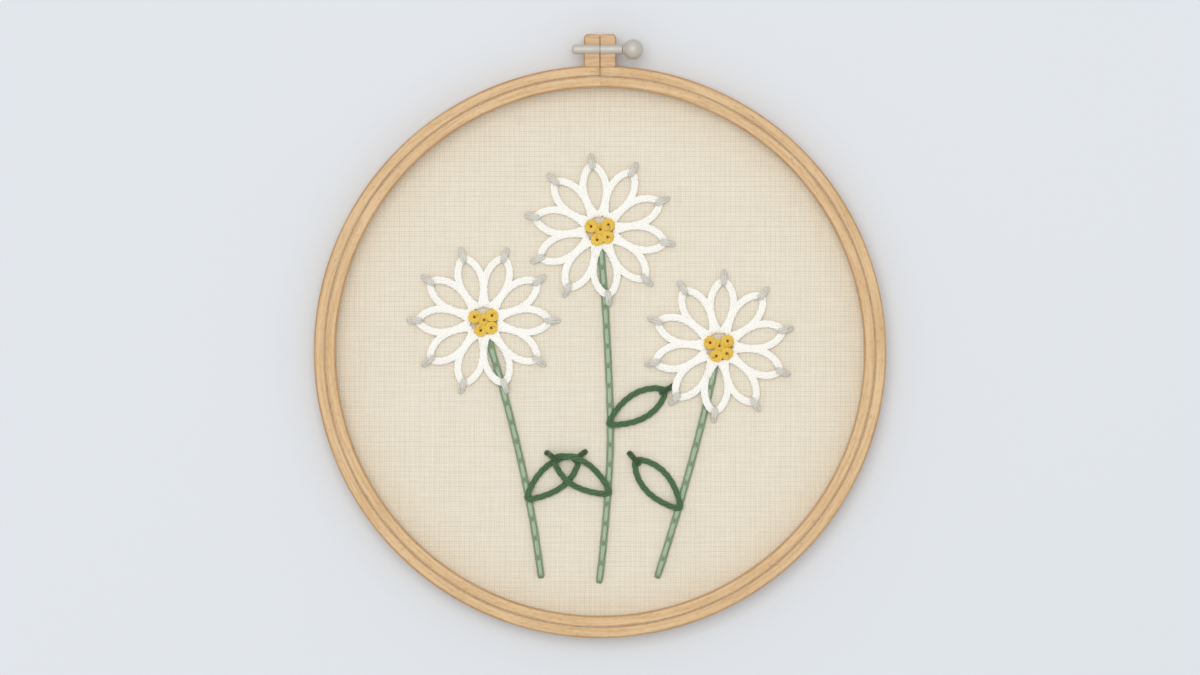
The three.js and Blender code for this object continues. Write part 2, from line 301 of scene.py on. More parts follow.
def smooth_mesh(name, points, faces, edges=None):
    mesh = bpy.data.meshes.new(name)
    mesh.from_pydata(points, [], faces)
    if edges is not None:
        mesh.attributes.new("edge", "FLOAT", "POINT").data.foreach_set("value", edges)
    mesh.shade_smooth()
    mesh.update()
    return mesh


def end_faces(size, count):
    """The faces that close a stack of outlines at its first and its last one."""
    return [tuple(reversed(range(size))), tuple((count - 1) * size + j for j in range(size))]


print("piece helpers ready")

# %% [markdown]
# Turned pieces (rings, barrels, knob) come from one function, which carries a closed outline round an axis.
# A point of the outline is a radius, a place along the axis and how worn it is: 1 on a corner, 0 on a flat
# side. A ring with a slit is the same sweep stopped short, with ends.

# %% Turning helper
def turned_mesh(name, outline, steps, start=0.0, sweep=math.tau):
    """Sweeps (radius, height, edge) points round +Z, anticlockwise from the start angle."""
    whole = sweep == math.tau
    count = steps if whole else steps + 1
    size = len(outline)
    points = []
    for i in range(count):
        angle = start + sweep * i / steps
        points += [(r * math.cos(angle), r * math.sin(angle), z) for r, z, _ in outline]
    faces = []
    for i in range(steps):
        here, there = i * size, (i + 1) % count * size
        for j in range(size):
            k = (j + 1) % size
            faces.append((here + j, there + j, there + k, here + k))
    if not whole:
        faces += end_faces(size, count)
    return smooth_mesh(name, points, faces, [edge for _, _, edge in outline] * count)


print("turning helper ready")

# %% [markdown]
# A ring's outline is a rectangle with rounded corners. Each flat side also gets a point near either corner,
# so that the wear fades there. The corners at the seam are crisper and less worn, because the rings sit
# tight there and hands don't reach them.

# %% Outline helper
CORNER_STEPS = 5
SEAM_WEAR = 0.5
WEAR_FADES = 0.12


def rounded_outline(low, high, bottom, top, rounding, seam_side, seam_rounding):
    """(radius, height, edge) points, anticlockwise; seam_side is the radius that faces the seam."""
    corners = [(high, bottom, -90), (high, top, 0), (low, top, 90), (low, bottom, 180)]
    outline = []
    for x, z, first in corners:
        inward = (-1 if x == high else 1, -1 if z == top else 1)
        round_here, worn = (seam_rounding, SEAM_WEAR) if x == seam_side else (rounding, 1.0)
        cx, cz = x + inward[0] * round_here, z + inward[1] * round_here
        for i in range(CORNER_STEPS + 1):
            angle = math.radians(first + 90 * i / CORNER_STEPS)
            outline.append((cx + round_here * math.cos(angle), cz + round_here * math.sin(angle), worn))
    roomy = []
    for i, point in enumerate(outline):
        roomy.append(point)
        if i % (CORNER_STEPS + 1) == CORNER_STEPS:
            following = outline[(i + 1) % len(outline)]
            for share in (WEAR_FADES, 1 - WEAR_FADES):
                roomy.append((point[0] + (following[0] - point[0]) * share,
                              point[1] + (following[1] - point[1]) * share, 0.0))
    return roomy


print("outline helper ready")

# %% [markdown]
# The two rings. On the real hoop the outer one is a split band and the inner one is whole. The seam holds
# only the squeezed thickness of the cloth, so here it is narrower than between the plain solids.

# %% Rings
RING_WALL = 4 * MM
RING_ROUNDING = 0.42 * MM
RING_STEPS = 240
SEAM = 0.3 * MM
SEAM_ROUNDING = 0.26 * MM
SLIT = 0.16 * MM
PACKED_CLOTH = 1.0 * MM
CLOTH_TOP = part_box("linen")[0].z + PACKED_CLOTH
CLOTH = 0.42 * MM
CLOTH_IN_SEAM = 0.27 * MM
CLOTH_TO_RING = 0.05 * MM
RIM = HOOP_SIZE / 2 + RING_WALL
WELL = HOOP_SIZE / 2 - RING_WALL
SEAM_OUT = HOOP_SIZE / 2 + SEAM / 2
SEAM_IN = HOOP_SIZE / 2 - SEAM / 2
HALF_SLIT_ANGLE = SLIT / HOOP_SIZE

for node, (low, high, bottom, seam_side), sweep in (
        ("outer_ring", (SEAM_OUT, RIM, 0, SEAM_OUT),
         (math.pi / 2 + HALF_SLIT_ANGLE, math.tau - 2 * HALF_SLIT_ANGLE)),
        ("inner_ring", (WELL, SEAM_IN, CLOTH_TOP + CLOTH_TO_RING, SEAM_IN), (0.0, math.tau))):
    outline = rounded_outline(low, high, bottom, RING_FRONT, RING_ROUNDING, seam_side, SEAM_ROUNDING)
    ring = turned_mesh(node + "_wood", outline, RING_STEPS, *sweep)
    finished(node + "_wood", ring, bent_beech, "hoop", [node])

# %% [markdown]
# The clamp. Two wooden ears carry metal barrels, and a screw with a ball knob pulls them together. An ear
# is a block with soft edges, stacked from outlines that shrink towards its two faces.

# %% Soft block helper
FLAT_FROM = 2
FACE_INSET = 2.2
UNWORN_REACH = 3
BLOCK_STEPS = 4


def block_outline(low, high, corners, inset):
    points = []
    centres = [(low[0], low[1], 180), (high[0], low[1], 270), (high[0], high[1], 0), (low[0], high[1], 90)]
    for (x, y, first), corner in zip(centres, corners):
        side_x, side_y = (1 if x == low[0] else -1), (1 if y == low[1] else -1)
        for i in range(BLOCK_STEPS + 1):
            angle = math.radians(first + 90 * i / BLOCK_STEPS)
            radius = corner - inset
            points.append((x + side_x * corner + radius * math.cos(angle),
                           y + side_y * corner + radius * math.sin(angle)))
    return points


def soft_block(name, low, high, corners, rounding, fresh_x):
    """A block whose upright corners have their own radii (from low x, low y anticlockwise).

    The side at fresh_x is a saw cut, so its edges aren't worn dark.
    """
    turns = [math.pi / 2 * i / BLOCK_STEPS for i in range(BLOCK_STEPS + 1)]
    levels = [(rounding * (1 - math.sin(t)), low[2] + rounding * (1 - math.cos(t)), 1.0) for t in turns]
    levels += [(0, low[2] + FLAT_FROM * rounding, 0.0), (0, high[2] - FLAT_FROM * rounding, 0.0)]
    levels += [(rounding * (1 - math.cos(t)), high[2] - rounding * (1 - math.sin(t)), 1.0) for t in turns]
    levels += [(FACE_INSET * rounding, high[2], 0.0)]
    largest_inset = min(corners) * 0.98
    points, edges, faces = [], [], []
    for inset, z, edge in levels:
        outline = block_outline(low, high, corners, min(inset, largest_inset))
        points += [(x, y, z) for x, y in outline]
        edges += [edge if abs(x - fresh_x) > UNWORN_REACH * rounding else 0.0 for x, y in outline]
    size = len(outline)
    for level in range(len(levels) - 1):
        here, above = level * size, (level + 1) * size
        for j in range(size):
            k = (j + 1) % size
            faces.append((here + j, here + k, above + k, above + j))
    return smooth_mesh(name, points, faces + end_faces(size, len(levels)), edges)


print("soft block helper ready")

# %% Ears
EAR_EDGE = 0.4 * MM
EAR_CORNER = 1.5 * MM
RING_CORNER = 0.9 * MM
SAWN_CORNER = 0.5 * MM
INTO_RING = 0.7 * MM

for side, node in ((-1, "ear_left"), (1, "ear_right")):
    low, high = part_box(node)
    inner, outer = side * SLIT / 2, (low.x if side < 0 else high.x)
    corners = [RING_CORNER, SAWN_CORNER, SAWN_CORNER, EAR_CORNER]
    if side > 0:
        corners = [SAWN_CORNER, RING_CORNER, EAR_CORNER, SAWN_CORNER]
    ear_low = (min(inner, outer), RIM - INTO_RING, 0)
    ear_high = (max(inner, outer), high.y, RING_FRONT)
    ear = soft_block(node + "_wood", ear_low, ear_high, corners, EAR_EDGE, inner)
    finished(node + "_wood", ear, straight_beech, "hoop", [node])

# %% [markdown]
# The metal of the clamp is satin nickel. Its colour changes a little from place to place, and fine rings
# round the screw's axis are what a lathe leaves.

# %% Clamp metal
def nickel_finish():
    material, tree, shader = new_finish("satin nickel", Metallic=0.42)
    place = own_place(tree)
    rings = noise(tree, vcalc(tree, "MULTIPLY", place, (1, 0.03, 0.03)), 9000, 2)
    smudge = noise(tree, place, 350, 3)
    colour = mixed(tree, smudge, rgb(203, 196, 184), rgb(191, 184, 172))
    feed(tree, shader.inputs["Base Color"], colour)
    feed(tree, shader.inputs["Roughness"], plus(tree, 0.46, smudge, 0.16))
    bump(tree, shader, rings, 0.02 * MM, 0.6)
    return material


nickel = nickel_finish()
print("finish:", nickel.name)

# %% [markdown]
# The barrels and the screw are outlines turned round the screw's axis. The left barrel is closed at its far
# end and holds the thread. The right one is open, and the screw's collar stops just short of it. Both have
# a bore with room round the screw, so that the screw turns without cutting into metal.

# %% Barrels and screw
screw_low, screw_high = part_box("clamp_screw")
barrel_low, barrel_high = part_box("barrel_left")
AXIS_Y = (screw_low.y + screw_high.y) / 2
AXIS_Z = (screw_low.z + screw_high.z) / 2
KNOB_RADIUS = (screw_high.y - screw_low.y) / 2
BARREL_RADIUS = (barrel_high.y - barrel_low.y) / 2
BALL_X = screw_high.x - KNOB_RADIUS
COLLAR_X = BALL_X - KNOB_RADIUS
LEFT_X = barrel_low.x
SCREW_RADIUS = 1.1 * MM
SCREW_ROOM = 0.15 * MM
BORE = SCREW_RADIUS + SCREW_ROOM
CLOSED_END = 1.5 * MM
SCREW_TIP = 1.8 * MM
COLLAR = 0.6 * MM
COLLAR_EDGE = 0.2 * MM
COLLAR_TAPER = 0.1 * MM
COLLAR_GAP = 0.2 * MM
NECK_SHARE = 0.8
LEFT_ROUNDING = 1.45 * MM
RIGHT_EDGE = 0.3 * MM
CUT_EDGE = 0.09 * MM
TINY_RADIUS = 0.01 * MM
AXIS_STEPS = 48


def arc(centre_x, centre_r, radius, first, last, steps=8):
    angles = [math.radians(first + (last - first) * i / steps) for i in range(steps + 1)]
    return [(centre_r + radius * math.sin(a), centre_x + radius * math.cos(a), 0.0) for a in angles]


def on_screw_axis(name, outline):
    """Turns (radius, x) points round the screw's axis; from radius 0 back to radius 0 is a solid."""
    mesh = turned_mesh(name, [(max(r, TINY_RADIUS), x, edge) for r, x, edge in outline], AXIS_STEPS)
    for vertex in mesh.vertices:
        y, z, x = vertex.co
        vertex.co = (x, AXIS_Y + y, AXIS_Z + z)
    mesh.update()
    return mesh


neck = math.degrees(math.asin(NECK_SHARE * BARREL_RADIUS / KNOB_RADIUS))
left_outline = [(0, LEFT_X, 0)]
left_outline += arc(LEFT_X + LEFT_ROUNDING, BARREL_RADIUS - LEFT_ROUNDING, LEFT_ROUNDING, 180, 90)
left_outline += arc(-SLIT / 2 - CUT_EDGE, BARREL_RADIUS - CUT_EDGE, CUT_EDGE, 90, 0, 3)
left_outline += [(BORE, -SLIT / 2, 0), (BORE, LEFT_X + CLOSED_END, 0), (0, LEFT_X + CLOSED_END, 0)]
right_outline = [(BORE, SLIT / 2, 0)]
right_outline += arc(SLIT / 2 + CUT_EDGE, BARREL_RADIUS - CUT_EDGE, CUT_EDGE, 180, 90, 3)
right_x = COLLAR_X - COLLAR_GAP
right_outline += arc(right_x - RIGHT_EDGE, BARREL_RADIUS - RIGHT_EDGE, RIGHT_EDGE, 90, 0, 4)
right_outline += [(BORE, right_x, 0)]
tip_x = LEFT_X + SCREW_TIP
screw_outline = [(0, tip_x, 0), (SCREW_RADIUS, tip_x, 0), (SCREW_RADIUS, COLLAR_X, 0)]
near_rim, far_rim = BARREL_RADIUS + COLLAR_TAPER, BARREL_RADIUS - COLLAR_TAPER
screw_outline += arc(COLLAR_X + COLLAR_EDGE, near_rim - COLLAR_EDGE, COLLAR_EDGE, 180, 90, 3)
screw_outline += arc(COLLAR_X + COLLAR, far_rim - COLLAR_EDGE, COLLAR_EDGE, 90, 0, 3)
screw_outline += arc(BALL_X, 0, KNOB_RADIUS, 180 - neck, 0, 24)

for node, outline, body in (("barrel_left", left_outline, "hoop"), ("barrel_right", right_outline, "hoop"),
                            ("clamp_screw", screw_outline, "screw")):
    mesh = on_screw_axis(node + "_metal", outline)
    finished(node + "_metal", mesh, nickel, body, [node])

# %% [markdown]
# The motif's sizes are in millimetres. A petal is a detached chain stitch: one loop of thread that leaves
# the cloth at the daisy's centre, runs out, turns and comes back. A leaf is the same stitch, fuller near
# its base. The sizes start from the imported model's and were fitted again to the picture: rounder tips on
# the loops, each stem a little aside, and a bow in the middle one.

# %% Motif sizes
PETAL = {"start": 5.3, "tip": 24.1, "half_width": 4.31, "skew": 1.19, "fullness": 0.57}
LEAF = {"start": -0.9, "tip": 23.5, "half_width": 4.74, "skew": 1.18, "fullness": 0.66}
PETAL_TIE = (22.8, 27.9)
LEAF_TIE = (21.6, 27.2)
PETALS = 10
STEM_START = 7.5
STEM_STEP = 0.4
BOW_AT, BOW_SPREAD = 0.54, 0.18
KNOTS = [(0.2, 0.2), (-3.35, 1.35), (3.15, 1.9), (-1.05, -3.6), (2.9, -2.7)]


def table(columns, rows):
    return {name: dict(zip(columns, row)) for name, row in rows.items()}


DAISIES = table(("place", "turn", "bend", "foot", "aside", "bow"), {
    "left": ((-43, 11.5), 0, (-26, -45), (-21.5, -83.4), -0.25, 0),
    "middle": ((0, 45), 25, (7, -33), (0, -85.3), -0.34, 0.55),
    "right": ((44, 2), 14, (35, -40), (21, -83.4), 0.1, 0),
})
LEAVES = table(("stem", "along", "heading"), {
    "leaf_left": ("left", 0.666, 38.8),
    "leaf_middle_low": ("middle", 0.728, 147.3),
    "leaf_middle_high": ("middle", 0.5193, 30.8),
    "leaf_right": ("right", 0.662, 132.7),
})
CLOTH_MM = CLOTH_TOP / MM
print(len(DAISIES) * PETALS, "petals,", len(LEAVES), "leaves, cloth face at z", CLOTH_MM, "mm")

# %% [markdown]
# Paths. A thread's path is a row of points in millimetres along the middle of the thread. Averaging
# neighbours rounds a corner as a stiff thread would.

# %% Path helpers
def on_heading(place, heading, along, left):
    angle = math.radians(heading)
    x = place[0] + along * math.cos(angle) - left * math.sin(angle)
    y = place[1] + along * math.sin(angle) + left * math.cos(angle)
    return np.stack([x, y], axis=-1)


def marks_on(points):
    """How far along the path each point is."""
    legs = np.linalg.norm(np.diff(points, axis=0), axis=1)
    return np.concatenate([[0], np.cumsum(legs)])


def points_at(points, wanted):
    marks = marks_on(points)
    return np.stack([np.interp(wanted, marks, column) for column in points.T], axis=1)


def evenly(points, step):
    length = marks_on(points)[-1]
    return points_at(points, np.linspace(0, length, max(4, round(length / step)) + 1))


def from_ends(points):
    """How far along the path each point is from the nearer end."""
    marks = marks_on(points)
    return np.minimum(marks, marks[-1] - marks)


def eased(values, passes):
    values = np.array(values, float)
    for _ in range(passes):
        values[1:-1] = (values[:-2] + 2 * values[1:-1] + values[2:]) / 4
    return values


print("path helpers ready")

# %% [markdown]
# The lines of the motif: the loop of a chain stitch, the straight line of a tie, and a stem, which is one
# smooth bend from under the daisy to its foot.

# %% Stitch lines
def chain_loop(place, heading, shape):
    share = np.linspace(0, 1, 50)
    along = shape["start"] + (shape["tip"] - shape["start"]) * share
    swell = np.maximum(np.sin(np.pi * share ** shape["skew"]), 0) ** shape["fullness"] * shape["half_width"]
    out = on_heading(place, heading, along, swell)
    back = on_heading(place, heading, along[::-1], -swell[::-1])
    return eased(evenly(np.vstack([out, back[1:]]), 0.35), 5)


def tie_line(place, heading, reach):
    return on_heading(place, heading, np.linspace(*reach, 20), np.zeros(20))


def stem_line(daisy):
    head, bend, foot = (np.array(daisy[key], float) for key in ("place", "bend", "foot"))
    head = head + (bend - head) / np.linalg.norm(bend - head) * STEM_START
    share = np.linspace(0, 1, 200)[:, None]
    line = (1 - share) ** 2 * head + 2 * share * (1 - share) * bend + share ** 2 * foot
    aside = daisy["aside"] + daisy["bow"] * np.exp(-((share - BOW_AT) / BOW_SPREAD) ** 2)
    return evenly(line + aside * (1, 0), STEM_STEP)


stems = {name: stem_line(daisy) for name, daisy in DAISIES.items()}
print("stem lengths, mm:", {name: round(float(marks_on(line)[-1])) for name, line in stems.items()})

# %% [markdown]
# Laying a thread gives its path heights. It rests on the cloth, or on a thread that it crosses, and is
# lifted by that thread's top. At its ends it gets thin and dips through the cloth, and each such hole is
# noted for the linen. A tie presses the middle of a loop down a little.

# %% Laying a thread
TIE_REACH = 1.6
CROSSING_MARGIN = 0.35
PINCH_IN_DIPS = 1.6
holes = []


def height_over(flat, half_width, half_height, under):
    """Centre heights of a thread that rests on the cloth or on the threads under it."""
    rest = CLOTH_MM + half_height
    z = np.full(len(flat), rest)
    for other in under:
        gaps = np.linalg.norm(flat[:, None] - other["points"][None, :, :2], axis=2)
        nearest = gaps.argmin(axis=1)
        close = gaps.min(axis=1) < other["half_width"] + CROSSING_MARGIN * half_width
        top = other["points"][nearest, 2] + other["half_height"] + half_height
        z = np.where(close, np.maximum(z, top), z)
    padded = np.pad(z, 2, mode="edge")
    wide = np.max([padded[i:i + len(z)] for i in range(5)], axis=0)
    return eased(wide, 6)


def smoothed(share):
    return share * share * (3 - 2 * share)


def lay(flat, size, under=(), dip=0.9, depth=0.65, pinch=0.5, step=0.4, pressed=0.0):
    """A laid path: dip is how long an end's dip is, depth where it goes to, pinch how thin it gets."""
    flat = evenly(flat, step)
    half_width, half_height = size[0] / 2, size[1] / 2
    z = height_over(flat, half_width, half_height, under)
    ends = from_ends(flat)
    z = z - pressed * np.exp(-((ends.max() - ends) / TIE_REACH) ** 2)
    sink = np.clip(1 - ends / dip, 0, 1) ** 2
    z = z - sink * (z - depth)
    narrow = np.clip(ends / (PINCH_IN_DIPS * dip), 0, 1)
    holes.extend([flat[0], flat[-1]])
    return {"points": np.column_stack([flat, z]), "half_width": half_width, "half_height": half_height,
            "pinch": pinch + (1 - pinch) * smoothed(narrow), "painted_shade": 0.0}


print("laying helper ready")

# %% [markdown]
# One geometry tree lays every thread. It copies the path once for each strand, sets the copies round the
# path in an oval that turns slowly along it, moves them a little with noise so that no two are alike, and
# gives each a round section. Width, height, strand count and twist are its inputs, so a petal, a stem cord
# and a French knot are the same tree with other numbers.

# %% Laid thread tree
WANDER_SCALE = 420.0
PATH_SALT = 37.0


def build_laid_thread():
    tree, given = new_group("laid thread", {
        "Geometry": "Geometry", "Strands": "Int", "Sides": "Int", "Width": "Float", "Height": "Float",
        "Strand Radius": "Float", "Twist": "Float", "Step": "Float", "Unevenness": "Float", "Seed": "Int",
        "Material": "Material"}, {"Geometry": "Geometry"}, "GeometryNodeTree")

    def stored(name):
        node = put(tree, "GeometryNodeInputNamedAttribute", {"Name": name}, data_type="FLOAT")
        return node.outputs["Attribute"]

    def keep(geometry, name, value, kind="FLOAT"):
        return put(tree, "GeometryNodeStoreNamedAttribute",
                   {"Geometry": geometry, "Name": name, "Value": value},
                   data_type=kind, domain="POINT").outputs["Geometry"]

    # The paths become curves, with one copy for each strand.
    line = put(tree, "GeometryNodeMeshToCurve", {"Mesh": given["Geometry"]}).outputs["Curve"]
    line = put(tree, "GeometryNodeResampleCurve", {"Curve": line, "Length": given["Step"]}, mode="LENGTH")
    copies = put(tree, "GeometryNodeDuplicateElements",
                 {"Geometry": line.outputs["Curve"], "Amount": given["Strands"]}, domain="SPLINE")
    index = copies.outputs["Duplicate Index"]
    length = put(tree, "GeometryNodeSplineParameter").outputs["Length"]
    position = put(tree, "GeometryNodeInputPosition").outputs["Position"]
    tangent = put(tree, "GeometryNodeInputTangent").outputs["Tangent"]
    pinch = stored("pinch")

    # Each copy has its own place on an oval round the path, and the oval turns along it.
    turn = calc(tree, "DIVIDE", calc(tree, "MULTIPLY", index, math.tau), given["Strands"])
    turn = calc(tree, "ADD", plus(tree, turn, length, given["Twist"]), stored("phase"))
    side = vcalc(tree, "NORMALIZE", vcalc(tree, "CROSS_PRODUCT", tangent, (0, 0, 1)))
    up = vcalc(tree, "CROSS_PRODUCT", side, tangent)
    shifts = []
    for way, extent, wave in ((side, "Width", "COSINE"), (up, "Height", "SINE")):
        reach = calc(tree, "SUBTRACT", calc(tree, "MULTIPLY", given[extent], 0.5), given["Strand Radius"])
        reach = calc(tree, "MULTIPLY", calc(tree, "MULTIPLY", reach, calc(tree, wave, turn)), pinch)
        shifts.append(vcalc(tree, "SCALE", way, reach))
    offset = vcalc(tree, "ADD", *shifts)

    # Noise moves the strands a little, so that no two are alike.
    shifted = vcalc(tree, "ADD", position, xyz(tree, index, calc(tree, "ADD", given["Seed"], 0.5), 0.0))
    wander = vcalc(tree, "SUBTRACT", noise(tree, shifted, WANDER_SCALE, 1.0, "Color"), (0.5, 0.5, 0.5))
    offset = vcalc(tree, "ADD", offset, vcalc(tree, "SCALE", wander, given["Unevenness"]))
    moved = put(tree, "GeometryNodeSetPosition", {"Geometry": copies.outputs["Geometry"], "Offset": offset})
    identity = plus(tree, index, stored("path"), PATH_SALT)
    chance = put(tree, "FunctionNodeRandomValue", {"ID": identity, "Seed": given["Seed"]}, data_type="FLOAT")
    geometry = keep(moved.outputs["Geometry"], "along", length)
    geometry = keep(geometry, "strand", chance.outputs[1])

    # A round section makes tubes, thinner where the path is pinched.
    ring = put(tree, "GeometryNodeCurvePrimitiveCircle",
               {"Resolution": given["Sides"], "Radius": given["Strand Radius"]}, mode="RADIUS")
    around = vcalc(tree, "SCALE", position, calc(tree, "DIVIDE", 1.0, given["Strand Radius"]))
    ring = keep(ring.outputs["Curve"], "round", around, "FLOAT_VECTOR")
    tube = put(tree, "GeometryNodeCurveToMesh", {"Curve": geometry, "Profile Curve": ring,
                                                 "Scale": plus(tree, 0.5, pinch, 0.5), "Fill Caps": True})
    smooth = put(tree, "GeometryNodeSetShadeSmooth", {"Geometry": tube.outputs["Mesh"], "Shade Smooth": True})
    real = put(tree, "GeometryNodeRealizeInstances", {"Geometry": smooth.outputs["Geometry"]})
    last = put(tree, "GeometryNodeSetMaterial",
               {"Geometry": real.outputs["Geometry"], "Material": given["Material"]})
    put(tree, "NodeGroupOutput", {"Geometry": last.outputs["Geometry"]})
    return tree


laid_thread = build_laid_thread()
print("tree:", laid_thread.name, "with", len(laid_thread.nodes), "nodes")

# %% [markdown]
# The paths become a mesh of loose edges, the tree turns them into strands, and the result is kept as a plain
# mesh. Every path carries its own start angle and number, which the tree reads.

# %% From paths to a piece
def paths_mesh(name, paths, chance):
    points, edges = [], []
    notes = {"phase": [], "path": [], "pinch": [], "painted_shade": []}
    for i, path in enumerate(paths):
        first, count = len(points), len(path["points"])
        points += [tuple(p * MM) for p in path["points"]]
        edges += [(first + j, first + j + 1) for j in range(count - 1)]
        for key, value in (("phase", chance.uniform(0, math.tau)), ("path", float(i)),
                           ("pinch", path["pinch"]), ("painted_shade", path["painted_shade"])):
            notes[key] += list(np.broadcast_to(value, count))
    mesh = bpy.data.meshes.new(name)
    mesh.from_pydata(points, edges, [])
    for key, values in notes.items():
        mesh.attributes.new(key, "FLOAT", "POINT").data.foreach_set("value", values)
    return mesh


def run_tree(host, tree, values):
    """The plain mesh that a geometry tree makes of the host, which is removed."""
    modifier = host.modifiers.new(tree.name, "NODES")
    modifier.node_group = tree
    for item in tree.interface.items_tree:
        if item.item_type == "SOCKET" and item.in_out == "INPUT" and item.name in values:
            modifier[item.identifier] = values[item.name]
    bpy.context.view_layer.update()
    evaluated = host.evaluated_get(bpy.context.evaluated_depsgraph_get())
    result = bpy.data.meshes.new_from_object(evaluated)
    bpy.data.objects.remove(host)
    return result


def threads(name, paths, material, slot, nodes, seed, strands, size, radius, twist_mm, uneven=0.1, step=0.6,
            sides=7):
    """Strands along the paths as one piece: sizes in mm, twist_mm is the length of one full turn."""
    host = bpy.data.objects.new(name + "_paths", paths_mesh(name + "_paths", paths, random.Random(seed)))
    bpy.context.scene.collection.objects.link(host)
    result = run_tree(host, laid_thread, {
        "Strands": strands, "Sides": sides, "Width": size[0] * MM, "Height": size[1] * MM,
        "Strand Radius": radius * MM, "Twist": math.tau / (twist_mm * MM), "Step": step * MM,
        "Unevenness": uneven * MM, "Seed": seed, "Material": material,
    })
    result.name = name
    finished(name, result, material, "hoop", nodes)


print("threads helper ready")

# %% [markdown]
# Cotton. A strand is itself spun from fibres, so the finish draws fine ridges that wind round it, paints
# the grooves between them darker as painted shade, and lets each strand be a little lighter or darker than
# the next. A soft sheen stands for the fuzz on its edge.

# %% Spun cotton group
PLIES = 3.0
PLY_LENGTH = 1.1 * MM


def build_spun_cotton():
    tree, given = new_group("spun cotton", {"Along": "Float", "Round": "Vector", "Strand": "Float",
                                            "Light": "Color", "Dark": "Color", "Ply Length": "Float"})
    parts = put(tree, "ShaderNodeSeparateXYZ", {"Vector": given["Round"]}).outputs
    angle = calc(tree, "ARCTAN2", parts["Y"], parts["X"])
    turns = calc(tree, "DIVIDE", calc(tree, "MULTIPLY", given["Along"], math.tau), given["Ply Length"])
    wound = plus(tree, turns, angle, PLIES)
    ridge = plus(tree, 0.5, calc(tree, "SINE", wound), 0.5)
    lean = calc(tree, "DIVIDE", wound, PLIES)
    across = calc(tree, "MULTIPLY", calc(tree, "COSINE", lean), 6.0)
    around = calc(tree, "MULTIPLY", calc(tree, "SINE", lean), 6.0)
    lengthwise = plus(tree, calc(tree, "MULTIPLY", given["Along"], 700.0), given["Strand"], 50.0)
    fibre = noise(tree, xyz(tree, lengthwise, across, around), 1.0, 3)
    slow = noise(tree, xyz(tree, lengthwise, parts["X"], parts["Y"]), 0.3, 1)
    # The grooves between the ridges are painted darker: painted shade.
    shade = calc(tree, "MULTIPLY", calc(tree, "SUBTRACT", 1.0, ridge), 0.3)
    shade = plus(tree, shade, given["Strand"], 0.3)
    shade = plus(tree, shade, calc(tree, "SUBTRACT", fibre, 0.4), 0.9)
    shade = plus(tree, shade, calc(tree, "SUBTRACT", slow, 0.4), 0.4)
    put(tree, "NodeGroupOutput", {"Color": mixed(tree, shade, given["Light"], given["Dark"]),
                                  "Height": plus(tree, fibre, ridge, 0.6),
                                  "Roughness": plus(tree, 0.62, fibre, 0.3)})
    return tree


spun_cotton = build_spun_cotton()
print("group:", spun_cotton.name)

# %% Cotton finishes
def cotton(name, light, dark, deep=None, sheen=0.35):
    """Stranded cotton between two colours; deep is the painted shade colour where the stored value is 1."""
    material, tree, shader = new_finish(name, Sheen_Weight=sheen, Sheen_Roughness=0.4,
                                        Specular_IOR_Level=0.35)
    colour = dress(tree, shader, spun_cotton, {
        "Along": stored_on(tree, "along"), "Round": stored_on(tree, "round", "Vector"),
        "Strand": stored_on(tree, "strand"), "Light": rgb(*light), "Dark": rgb(*dark),
        "Ply Length": PLY_LENGTH}, 0.1 * MM, 0.9)
    # Where the stored value is 1 the colour turns to deep: painted shade.
    if deep is not None:
        feed(tree, shader.inputs["Base Color"], mixed(tree, stored_on(tree, "painted_shade"), colour, rgb(*deep)))
    return material


white_cotton = cotton("ecru white cotton", (255, 254, 248), (251, 246, 234), sheen=0.7)
grey_cotton = cotton("light grey cotton", (226, 223, 213), (205, 202, 192))
# Its third colour is the painted shade in the French knots' holes.
gold_cotton = cotton("gold cotton", (246, 211, 90), (229, 185, 64), (160, 118, 36))
sage_cotton = cotton("sage cotton", (144, 165, 132), (120, 141, 109))
mint_cotton = cotton("pale sage cotton", (179, 199, 166), (158, 178, 146))
leaf_cotton = cotton("leaf green cotton", (83, 120, 76), (63, 97, 57))
pine_cotton = cotton("deep green cotton", (61, 91, 53), (44, 71, 39))
print("cottons ready")

# %% [markdown]
# Stems first, because petals and leaves lie over them. A flat cord of eight strands is laid down, and short
# stitches in a paler thread run along its middle. They are set out from the foot, where both end.

# %% Stems
STEM_SIZE = (2.7, 1.25)
DASH_SIZE = (1.45, 1.15)
STITCH_LENGTH, STITCH_PITCH, STITCH_INSET = 5.4, 7.3, 0.9
SHORTEST_STITCH = 1.8
FIRST_STITCH_FROM = 0.3
cords = {name: lay(line, STEM_SIZE, pinch=0.8) for name, line in stems.items()}
dashes = []
for name, line in stems.items():
    end = marks_on(line)[-1] - STITCH_INSET
    while end > SHORTEST_STITCH:
        part = points_at(line, np.linspace(max(end - STITCH_LENGTH, FIRST_STITCH_FROM), end, 20))
        dashes.append(lay(part, DASH_SIZE, [cords[name]], dip=0.7, depth=1.7, pinch=0.9, step=0.25))
        end -= STITCH_PITCH
threads("stem_cords", list(cords.values()), sage_cotton, "stem_thread",
        ["stem_left", "stem_middle", "stem_right"], seed=11, strands=8, size=STEM_SIZE, radius=0.42,
        twist_mm=70, uneven=0.16)
threads("stem_stitches", dashes, mint_cotton, "stem_thread", [], seed=12, strands=4, size=DASH_SIZE,
        radius=0.34, twist_mm=30, step=0.4)

# %% [markdown]
# Leaves. The low middle leaf lies over the left one, and each tie lies over its leaf's tip.

